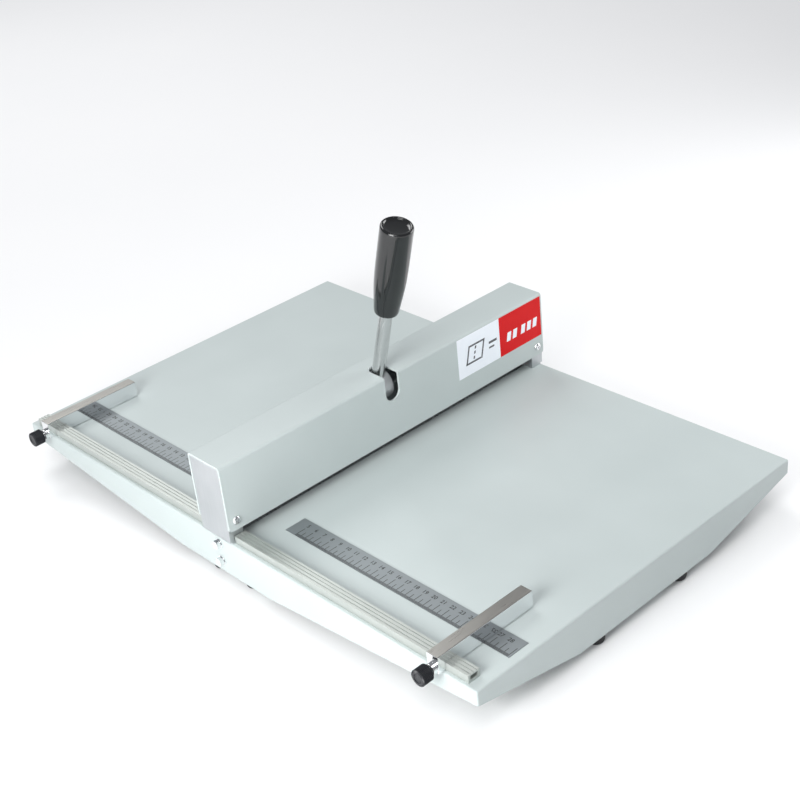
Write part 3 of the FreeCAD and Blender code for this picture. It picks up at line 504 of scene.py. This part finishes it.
for end_name in ("front", "rear"):
    finished(end_name + "_end_block", brushed, 0.35 * mm)
cap_head = 5.5 * mm
fitted("end_block_screws", screw(4.25 * mm, cap_head, 2.5 * mm, 44.5 * mm, "socket"), cap_head, downwards,
       zinc)

# --- Bolts through the skirts -----------------------------------------------------------------------------
# Two bright plated hexagon bolts, one over the other, go through each skirt into the bar's end, on plain
# round washers.
bright, shader, add = start_material("bright_plate")
haze = grain(add, 300)
wire(bright, shader, Roughness=ramp(add, haze, 0.07, 0.14))
shader.inputs["Base Color"].default_value = (0.86, 0.87, 0.88, 1)
shader.inputs["Metallic"].default_value = 1.0
bolt_head = 4 * mm


def hexagon_bolt():
    """A chamfered hexagon head on a shank."""
    radius = 4.04 * mm
    shank_radius, shank_long = 2 * mm, 13.2 * mm
    crown = turned([(0, bolt_head * 2), (radius * 2, bolt_head * 2), (radius * 2, bolt_head * 0.55),
                    (radius * 0.80, bolt_head * 1.12), (0, bolt_head * 1.12)])
    made = carved(prism(radius, 0, bolt_head, 6), crown)
    join(made, prism(shank_radius, -shank_long, 0, 24))
    soften(made, sharp_edges(made), 0.15 * mm)
    return made


fitted("beam_bolts", hexagon_bolt(), bolt_head, endways, bright, "hexagon")
finished("beam_washers", bright)

# --- Beam cover -------------------------------------------------------------------------------------------
# A channel of 2 mm steel, folded down on both sides and coated like the table. A slot with round ends runs
# over its top and down its right side for the lever. Cross-recess screws hold it to the end blocks.
low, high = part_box("beam_cover")
hub_low, hub_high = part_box("lever_hub")
lever_y = (hub_low.y + hub_high.y) / 2
cover_sheet, cover_bend, cover_corner = 2 * mm, 2.6 * mm, 3 * mm
slot_half = 8.25 * mm
slot_left = -4 * mm
slot_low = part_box("base_shell")[1].z + 50.7 * mm
slot_long, slot_deep = 40 * mm, 14 * mm


def build_channel():
    """The cover without its slot: a sheet folded down on both sides, with rounded lower corners."""
    made = bmesh.new()
    corners = [(low.x, low.z), (low.x, high.z), (high.x, high.z), (high.x, low.z)]
    verts = [made.verts.new((x, low.y, z)) for x, z in corners]
    edges = [made.edges.new(pair) for pair in zip(verts, verts[1:])]
    grown = bmesh.ops.extrude_edge_only(made, edges=edges)["geom"]
    moved = [item for item in grown if isinstance(item, bmesh.types.BMVert)]
    bmesh.ops.translate(made, verts=moved, vec=(0, high.y - low.y, 0))
    bmesh.ops.recalc_face_normals(made, faces=made.faces)
    top = max(made.faces, key=lambda face: face.calc_center_median().z)
    if top.normal.z < 0:
        bmesh.ops.reverse_faces(made, faces=made.faces)
    soften(made, sharp_edges(made), cover_bend, segments=6)
    ends = [vert for vert in made.verts if vert.co.z < low.z + 1e-6]
    bmesh.ops.bevel(made, geom=ends, offset=cover_corner, segments=5, profile=0.5, affect="VERTICES",
                    material=-1)
    bmesh.ops.solidify(made, geom=made.faces, thickness=cover_sheet)
    return made


def round_ended(place):
    """A slot's cutter: it starts with a half circle about the origin and runs along +X, deep in Z."""
    made = bmesh.new()
    steps = 24
    arc = [(-slot_half * math.sin(math.pi * step / steps), slot_half * math.cos(math.pi * step / steps))
           for step in range(steps + 1)]
    spots = arc + [(slot_long, -slot_half), (slot_long, slot_half)]
    grow(made, [(x, y, -slot_deep / 2) for x, y in spots], (0, 0, slot_deep))
    bmesh.ops.transform(made, matrix=place, verts=made.verts)
    return made


standing = Matrix(((0, 0, 1, 0), (0, -1, 0, 0), (1, 0, 0, 0), (0, 0, 0, 1)))
top_slot = round_ended(Matrix.Translation((slot_left + slot_half, lever_y, high.z)))
side_slot = round_ended(Matrix.Translation((high.x, lever_y, slot_low + slot_half)) @ standing)
channel = carved(carved(build_channel(), top_slot), side_slot)
piece("beam_cover_folded", channel, [powder_coat], "base", ["beam_cover"])
pan_head = 2.2 * mm
fitted("cover_screws", screw(3.9 * mm, pan_head, 1.9 * mm, 8.3 * mm, "cross"), pan_head, sideways, bright)

# --- Label ------------------------------------------------------------------------------------------------
# A printed film on the cover's right side: a white field with a plain folded-sheet sign, and a red field
# with plain white bars.
low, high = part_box("side_label")
divide = low.y + 0.492 * (high.y - low.y)
print_skin = 0.02 * mm
films = {}
for film, dark, light in (("white_film", (0.84, 0.88, 0.94), (0.87, 0.91, 0.96)),
                          ("red_film", (0.62, 0.006, 0.008), (0.68, 0.009, 0.011)),
                          ("grey_print", (0.10, 0.10, 0.11), (0.14, 0.14, 0.15))):
    films[film], shader, add = start_material(film)
    wire(films[film], shader, Base_Color=tint(add, grain(add, 220), dark, light),
         Roughness=ramp(add, grain(add, 700), 0.32, 0.42))
    shader.inputs["Specular IOR Level"].default_value = 0.12


def plate(made, corners, x_low, x_high):
    """A flat plate on the cover's side, from its corners as places along and up the beam."""
    grow(made, [(x_low, y, z) for y, z in corners], (x_high - x_low, 0, 0))
    bmesh.ops.recalc_face_normals(made, faces=made.faces)


def field(name, y_low, y_high, film):
    """A printed field of the label, between two places along the beam."""
    made = bmesh.new()
    corners = [(y_low, low.z), (y_high, low.z), (y_high, high.z), (y_low, high.z)]
    plate(made, corners, low.x, high.x - print_skin)
    return piece(name, made, [films[film]], "base", ["side_label"])


field("label_white_field", low.y, divide, "white_film")
field("label_red_field", divide, high.y, "red_film")


def bar(made, along, upward, long, tall, lean=0.0):
    """A printed bar, given as shares of the label's height from its lower front corner."""
    unit = high.z - low.z
    y, z = low.y + along * unit, low.z + upward * unit
    end, top, slant = y + long * unit, z + tall * unit, lean * tall * unit
    plate(made, [(y, z), (end, z), (end + slant, top), (y + slant, top)], high.x - 1.5 * print_skin, high.x)


sign = bmesh.new()
stroke = 0.045
for along, upward, long, tall, lean in ((0.24, 0.26, stroke, 0.46, 0.25), (0.72, 0.26, stroke, 0.46, 0.25),
                                        (0.24, 0.26, 0.48, stroke, 0), (0.355, 0.675, 0.48, stroke, 0),
                                        (0.48, 0.34, stroke, 0.07, 0.25), (0.51, 0.46, stroke, 0.07, 0.25),
                                        (0.54, 0.58, stroke, 0.07, 0.25), (1.00, 0.50, 0.26, 0.06, 0),
                                        (1.00, 0.38, 0.17, 0.045, 0)):
    bar(sign, along, upward, long, tall, lean)
piece("label_sheet_sign", sign, [films["grey_print"]], "base", ["side_label"])
bars = bmesh.new()
for start in (1.58, 1.78, 2.06, 2.26, 2.46):
    bar(bars, start, 0.30, 0.13, 0.22, lean=0.2)
piece("label_white_bars", bars, [films["white_film"]], "base", ["side_label"])

# --- Rails ------------------------------------------------------------------------------------------------
# A hollow extruded aluminium rail with three fine grooves along its top stands at the front edge on each
# side of the beam. Pan-head screws under the table hold it.
extruded, shader, add = start_material("extruded_aluminium")
drawn = grain(add, 30, stretch=(1, 50, 50), detail=5)
wire(extruded, shader, Base_Color=tint(add, drawn, (0.46, 0.49, 0.465), (0.51, 0.54, 0.515)),
     Roughness=ramp(add, drawn, 0.36, 0.46), Normal=relief(add, drawn, 0.000002))
shader.inputs["Metallic"].default_value = 0.65

for side_name in ("left", "right"):
    finished(side_name + "_rail", extruded, 0.15 * mm)
rail_head = 2.6 * mm
fitted("rail_screws", screw(3.5 * mm, rail_head, 2 * mm, 3.9 * mm, "cross"), rail_head, downwards, zinc)

# --- Rulers -----------------------------------------------------------------------------------------------
# A thin satin steel scale is stuck down on each side. Its front edge carries millimetre marks, with longer
# ones at five and ten, and its numerals count centimetres outwards from the crease.
scale_steel, shader, add = start_material("scale_steel")
rolled = grain(add, 35, stretch=(1, 40, 40), detail=5)
wire(scale_steel, shader, Base_Color=tint(add, rolled, (0.24, 0.267, 0.277), (0.28, 0.308, 0.318)),
     Roughness=ramp(add, rolled, 0.38, 0.52), Normal=relief(add, rolled, 0.00001))
shader.inputs["Metallic"].default_value = 0.55
etched, shader, add = start_material("etched_black")
wire(etched, shader, Base_Color=tint(add, grain(add, 900), (0.020, 0.022, 0.024), (0.045, 0.048, 0.05)))
shader.inputs["Roughness"].default_value = 0.5

first_mark, last_mark = 50, 290
mark_high = 0.02 * mm
numeral_row, numeral_size = 15.4 * mm, 5.4 * mm
ruler_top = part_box("right_ruler")[1].z


def flat_block(made, x_low, x_high, y_low, y_high, z_low, z_high):
    """A box between its limits."""
    size = Matrix.Diagonal((x_high - x_low, y_high - y_low, z_high - z_low, 1))
    centre = Matrix.Translation(((x_low + x_high) / 2, (y_low + y_high) / 2, (z_low + z_high) / 2))
    bmesh.ops.create_cube(made, size=1, matrix=centre @ size)


def numeral(made, text, x, y, size):
    """A numeral, raised a hair above the ruler, centred on a place."""
    letters = bpy.data.curves.new("numeral", "FONT")
    letters.body = text
    letters.size = size
    letters.align_x = "CENTER"
    letters.align_y = "CENTER"
    letters.extrude = mark_high / 2
    letters.offset = 0.02 * size
    letters.resolution_u = 3
    item = bpy.data.objects.new("numeral", letters)
    scene.collection.objects.link(item)
    mesh = bpy.data.meshes.new_from_object(item.evaluated_get(bpy.context.evaluated_depsgraph_get()))
    bpy.data.objects.remove(item)
    mesh.transform(Matrix.Translation((x, y, ruler_top + mark_high / 2)))
    made.from_mesh(mesh)
    bpy.data.meshes.remove(mesh)


for side_name, sign_x in (("left", -1), ("right", 1)):
    finished(side_name + "_ruler", scale_steel, 0.1 * mm)
    low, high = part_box(side_name + "_ruler")
    marks = bmesh.new()
    for millimetre in range(first_mark, last_mark + 1):
        whole_centimetre = millimetre % 10 == 0
        long, wide = 3.0 * mm, 0.62 * mm
        if millimetre % 5 == 0:
            long, wide = (11.5 * mm if whole_centimetre else 7.8 * mm), 0.6 * mm
        x = sign_x * millimetre * mm
        flat_block(marks, x - wide / 2, x + wide / 2, low.y + 0.15 * mm, low.y + long, ruler_top - mark_high,
                   ruler_top + mark_high)
        if whole_centimetre and millimetre < last_mark:
            numeral(marks, str(millimetre // 10), x, low.y + numeral_row, numeral_size)
    bmesh.ops.remove_doubles(marks, verts=marks.verts, dist=1e-7)
    piece(side_name + "_ruler_marks", marks, [etched], "base")

# --- Sliding stops ----------------------------------------------------------------------------------------
# Each stop is a rectangular aluminium bar that straddles the rail. Its sides are polished bright as a mirror
# and its top is left matt, in a dark beige that is painted reflection of a dark, warm room. A thumb screw in
# front pinches it to the rail.
mirror_polish, shader, add = start_material("mirror_polish")
swirl = grain(add, 90, stretch=(1, 1, 14), detail=4)
wire(mirror_polish, shader, Roughness=ramp(add, swirl, 0.05, 0.12), Normal=relief(add, swirl, 0.000004))
shader.inputs["Base Color"].default_value = (0.86, 0.87, 0.88, 1)
shader.inputs["Metallic"].default_value = 1.0
# The top's matt finish is real; its dark beige base colour is painted reflection of a dark, warm room.
matt_top_painted_reflection, shader, add = start_material("matt_aluminium_painted_reflection")
lengthwise = grain(add, 40, stretch=(50, 1, 50), detail=5)
wire(matt_top_painted_reflection, shader, Base_Color=tint(add, lengthwise, (0.40, 0.39, 0.365), (0.46, 0.45, 0.42)),
     Roughness=ramp(add, lengthwise, 0.26, 0.38), Normal=relief(add, lengthwise, 0.000012))
shader.inputs["Metallic"].default_value = 1.0
knob_black, shader, add = start_material("knob_black")
pores = grain(add, 1600)
wire(knob_black, shader, Base_Color=tint(add, pores, (0.008, 0.009, 0.012), (0.018, 0.019, 0.023)),
     Roughness=ramp(add, pores, 0.32, 0.46))


def knurled_knob(radius, long):
    """A straight-knurled thumb knob about Z with its face at the top, bevelled, with a shallow dish."""
    ridges, shallow = 44, 0.42 * mm
    made = bmesh.new()
    ring = []
    for step in range(2 * ridges):
        turn = math.pi * step / ridges
        reach = radius - (shallow if step % 2 else 0)
        ring.append((reach * math.cos(turn), reach * math.sin(turn), -long))
    grow(made, ring, (0, 0, long))
    bmesh.ops.recalc_face_normals(made, faces=made.faces)
    for level, tuck in ((0, 1.3 * mm), (-long, 0.7 * mm)):
        lid = [item for item in made.faces
               if len(item.verts) > 8 and abs(item.calc_center_median().z - level) < 1e-6]
        inner = bmesh.ops.inset_region(made, faces=lid, thickness=tuck, depth=0)
        inner_verts = {vert for item in lid for vert in item.verts}
        outer = {vert for item in inner["faces"] for vert in item.verts} - inner_verts
        drop = -math.copysign(tuck * 0.6, level + long / 2)
        bmesh.ops.translate(made, verts=list(outer), vec=(0, 0, drop))
        if level == 0:
            bmesh.ops.inset_region(made, faces=lid, thickness=1.6 * mm, depth=0)
            bmesh.ops.inset_region(made, faces=lid, thickness=0.5 * mm, depth=-0.5 * mm)
    return made


for side_name in ("left", "right"):
    stop = from_cad(side_name + "_stop", 0.25 * mm)
    for face in stop.faces:
        # Faces that look up get the matt top with its painted reflection; the sides get the mirror polish.
        face.material_index = 1 if face.normal.z > 0.6 else 0
    piece(side_name + "_stop_bar", stop, [mirror_polish, matt_top_painted_reflection], side_name + "_stop",
          [side_name + "_stop"])
    finished(side_name + "_stop_nut", bright, 0.3 * mm)
    finished(side_name + "_thumb_stud", bright, 0.3 * mm)
    low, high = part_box(side_name + "_thumb_knob")
    centre = (low + high) / 2
    knob = knurled_knob((high.x - low.x) / 2, high.y - low.y)
    facing = Matrix.Translation((centre.x, low.y, centre.z)) @ Matrix.Rotation(math.radians(90), 4, "X")
    bmesh.ops.transform(knob, matrix=facing, verts=knob.verts)
    piece(side_name + "_thumb_knob_knurled", knob, [knob_black], side_name + "_thumb_screw",
          [side_name + "_thumb_knob"])

# --- Shaft, bushes and cams -------------------------------------------------------------------------------
# A ground shaft turns in two flanged bronze bushes in the end blocks. A plate cam near each end, locked by a
# grub screw, pushes the blade bar down when the lever comes over.
bronze, shader, add = start_material("oiled_bronze")
pitted = grain(add, 900)
wire(bronze, shader, Base_Color=tint(add, pitted, (0.42, 0.26, 0.10), (0.58, 0.38, 0.17)),
     Roughness=ramp(add, pitted, 0.30, 0.48), Normal=relief(add, pitted, 0.00001))
shader.inputs["Metallic"].default_value = 1.0

finished("drive_shaft", ground, 0.5 * mm)
for end_name in ("front", "rear"):
    finished(end_name + "_bush", bronze, 0.3 * mm)
    finished(end_name + "_cam", ground, 0.3 * mm)


def grub_screw(radius, long):
    """A grub screw about Z with its socket at the top."""
    outline = [(0, 0), (radius - 0.3 * mm, 0), (radius, -0.3 * mm), (radius, -long + 0.5 * mm),
               (radius - 0.5 * mm, -long), (0, -long)]
    return carved(turned(outline, 20), prism(0.55 * radius, -0.5 * long, long, 6))


fitted("cam_grub_screws", grub_screw(2 * mm, 3.4 * mm), 0, upwards, zinc)

# --- Lever ------------------------------------------------------------------------------------------------
# A steel hub on the shaft holds the bright steel rod that comes out through the cover's slot. On the rod is
# a barrel-shaped grip moulded in glossy black, with a dished end.
satin_nickel, shader, add = start_material("satin_nickel")
dull = grain(add, 400)
wire(satin_nickel, shader, Base_Color=tint(add, dull, (0.66, 0.68, 0.69), (0.74, 0.76, 0.77)),
     Roughness=ramp(add, dull, 0.42, 0.54))
shader.inputs["Metallic"].default_value = 0.55
finished("lever_hub", satin_nickel, 0.5 * mm)
finished("hub_grub_screw", zinc, 0.3 * mm)

rod_steel, shader, add = start_material("turned_steel")
rings = grain(add, 260, stretch=(0.1, 0.1, 1), detail=3)
wire(rod_steel, shader, Base_Color=tint(add, rings, (0.62, 0.62, 0.62), (0.74, 0.74, 0.74)),
     Roughness=ramp(add, rings, 0.16, 0.26))
shader.inputs["Metallic"].default_value = 1.0
finished("lever_rod", rod_steel, 0.5 * mm)

gloss_black, shader, add = start_material("gloss_black")
flow = grain(add, 60, detail=2)
wire(gloss_black, shader, Base_Color=tint(add, flow, (0.005, 0.0055, 0.006), (0.008, 0.009, 0.0095)),
     Roughness=ramp(add, flow, 0.10, 0.17), Normal=relief(add, flow, 0.00002))
shader.inputs["Coat Weight"].default_value = 0.5
shader.inputs["Coat Roughness"].default_value = 0.06

shaft_low, shaft_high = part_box("drive_shaft")
shaft_z = (shaft_low.z + shaft_high.z) / 2
lever_lean = math.radians(16.5)
grip_start, grip_end = 84.5 * mm, 174 * mm
bore_radius, bore_end = 6.1 * mm, 150.04 * mm
barrel = ((0.03, 11.15), (0.08, 11.6), (0.15, 12.2), (0.22, 12.85), (0.29, 13.45), (0.34, 13.8),
          (0.40, 14.07), (0.47, 14.22), (0.56, 14.32), (0.68, 14.36), (0.82, 14.38), (0.94, 14.35),
          (0.975, 14.30))


def build_grip():
    """The grip about the lever's line, turned from its profile and then leaned over."""
    span = grip_end - grip_start
    outline = [(0, bore_end), (bore_radius, bore_end), (bore_radius, grip_start + 0.6 * mm),
               (9.4 * mm, grip_start), (10.6 * mm, grip_start + 0.5 * mm)]
    outline += [(radius * mm, grip_start + share * span) for share, radius in barrel]
    rim = ((14.1, 1.2), (13.7, 0.5), (13.1, 0.12), (12.5, 0), (11.8, 0.2), (11.3, 0.9), (10.7, 1.6),
           (8, 2.1), (0, 2.3))
    outline += [(radius * mm, grip_end - down * mm) for radius, down in rim]
    made = turned(outline, 56)
    lean = Matrix.Translation((0, lever_y, shaft_z)) @ Matrix.Rotation(lever_lean, 4, "Y")
    bmesh.ops.transform(made, matrix=lean, verts=made.verts)
    return made


piece("lever_grip_moulded", build_grip(), [gloss_black], "lever", ["lever_grip"], crease=50)

# --- Blade bar --------------------------------------------------------------------------------------------
# The blade bar slides in the end blocks. A thin steel blade sits in a slot along its underside, pinched by a
# row of screws, and a hardened pad under each cam is screwed to its top.
finished("blade_carrier", milled, 0.4 * mm)
finished("crease_blade", ground, 0.2 * mm)
for end_name in ("front", "rear"):
    finished(end_name + "_cam_pad", ground, 0.3 * mm)


def rightwards(centre):
    return Vector((1, 0, 0))


blade_head, pad_head = 1.6 * mm, 4 * mm
fitted("blade_screws", screw(2.6 * mm, blade_head, 1.5 * mm, 5.2 * mm, "cross"), blade_head, rightwards,
       zinc)
fitted("pad_screws", screw(3.4 * mm, pad_head, 2 * mm, 11.9 * mm, "socket"), pad_head, upwards, zinc)

# --- Return springs ---------------------------------------------------------------------------------------
# A coil spring of drawn wire stands in each end block's guide, under the end of the blade bar, and lifts the
# bar and the lever again. The real one is squeezed as the bar comes down; here it rides on the base at one
# length.
spring_wire, shader, add = start_material("spring_wire")
scale_marks = grain(add, 700)
wire(spring_wire, shader, Base_Color=tint(add, scale_marks, (0.24, 0.24, 0.26), (0.38, 0.38, 0.40)),
     Roughness=ramp(add, scale_marks, 0.25, 0.40))
shader.inputs["Metallic"].default_value = 1.0


def coil(low_corner, high_corner, radius, turns):
    """A helical spring that fills a box, of wire with that radius."""
    centre = (low_corner + high_corner) / 2
    reach = (high_corner.x - low_corner.x) / 2 - radius
    made = bmesh.new()
    start = Matrix.Translation((centre.x + reach, centre.y, low_corner.z + radius))
    bmesh.ops.create_circle(made, cap_ends=True, radius=radius, segments=10,
                            matrix=start @ Matrix.Rotation(math.pi / 2, 4, "X"))
    steps = turns * 24
    rise = (high_corner.z - low_corner.z - 2 * radius) / steps
    bmesh.ops.spin(made, geom=made.verts[:] + made.edges[:] + made.faces[:], cent=centre, axis=(0, 0, 1),
                   dvec=(0, 0, rise), angle=math.tau * turns, steps=steps)
    bmesh.ops.remove_doubles(made, verts=made.verts, dist=1e-8)
    bmesh.ops.recalc_face_normals(made, faces=made.faces)
    return made


wire_radius, coils = 0.45 * mm, 8
for end_name in ("front", "rear"):
    node = end_name + "_return_spring"
    low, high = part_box(node)
    spring = piece(node + "_coil", coil(low, high, wire_radius, coils), [spring_wire], "base",
                   [node])
    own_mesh(spring)

# --- Feet -------------------------------------------------------------------------------------------------
# Eight round rubber feet, turned in a little at the bottom, each held by a screw sunk in its underside and a
# nut on top of the flange.
rubber, shader, add = start_material("foot_rubber")
bloom = grain(add, 600)
wire(rubber, shader, Base_Color=tint(add, bloom, (0.014, 0.014, 0.015), (0.028, 0.028, 0.029)),
     Roughness=ramp(add, bloom, 0.62, 0.80), Normal=relief(add, bloom, 0.00003))


def build_foot(radius, tall):
    """A foot about Z, standing on z = 0, with a stepped hole for its screw."""
    hole, sunk, sunk_deep = 2.05 * mm, 4.2 * mm, 4 * mm
    outline = [(hole, tall), (radius - 0.5 * mm, tall), (radius, tall - 0.5 * mm), (radius, 3.2 * mm),
               (radius - 0.35 * mm, 1.4 * mm), (radius - 0.9 * mm, 0.35 * mm), (radius - 1.6 * mm, 0),
               (sunk + 0.3 * mm, 0), (sunk, 0.3 * mm), (sunk, sunk_deep), (hole, sunk_deep), (hole, tall)]
    return turned(outline, 40)


for node in sorted(frame["nodes"]):
    if node.startswith("rubber_foot"):
        low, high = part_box(node)
        foot = build_foot((high.x - low.x) / 2, high.z - low.z)
        place = Matrix.Translation(((low.x + high.x) / 2, (low.y + high.y) / 2, low.z))
        bmesh.ops.transform(foot, matrix=place, verts=foot.verts)
        piece(node + "_moulded", foot, [rubber], "base", [node])
foot_head = 2.4 * mm
fitted("foot_screws", screw(3.5 * mm, foot_head, 2 * mm, 10.7 * mm, "cross"), foot_head, downwards, zinc)
finished("foot_nuts", zinc)
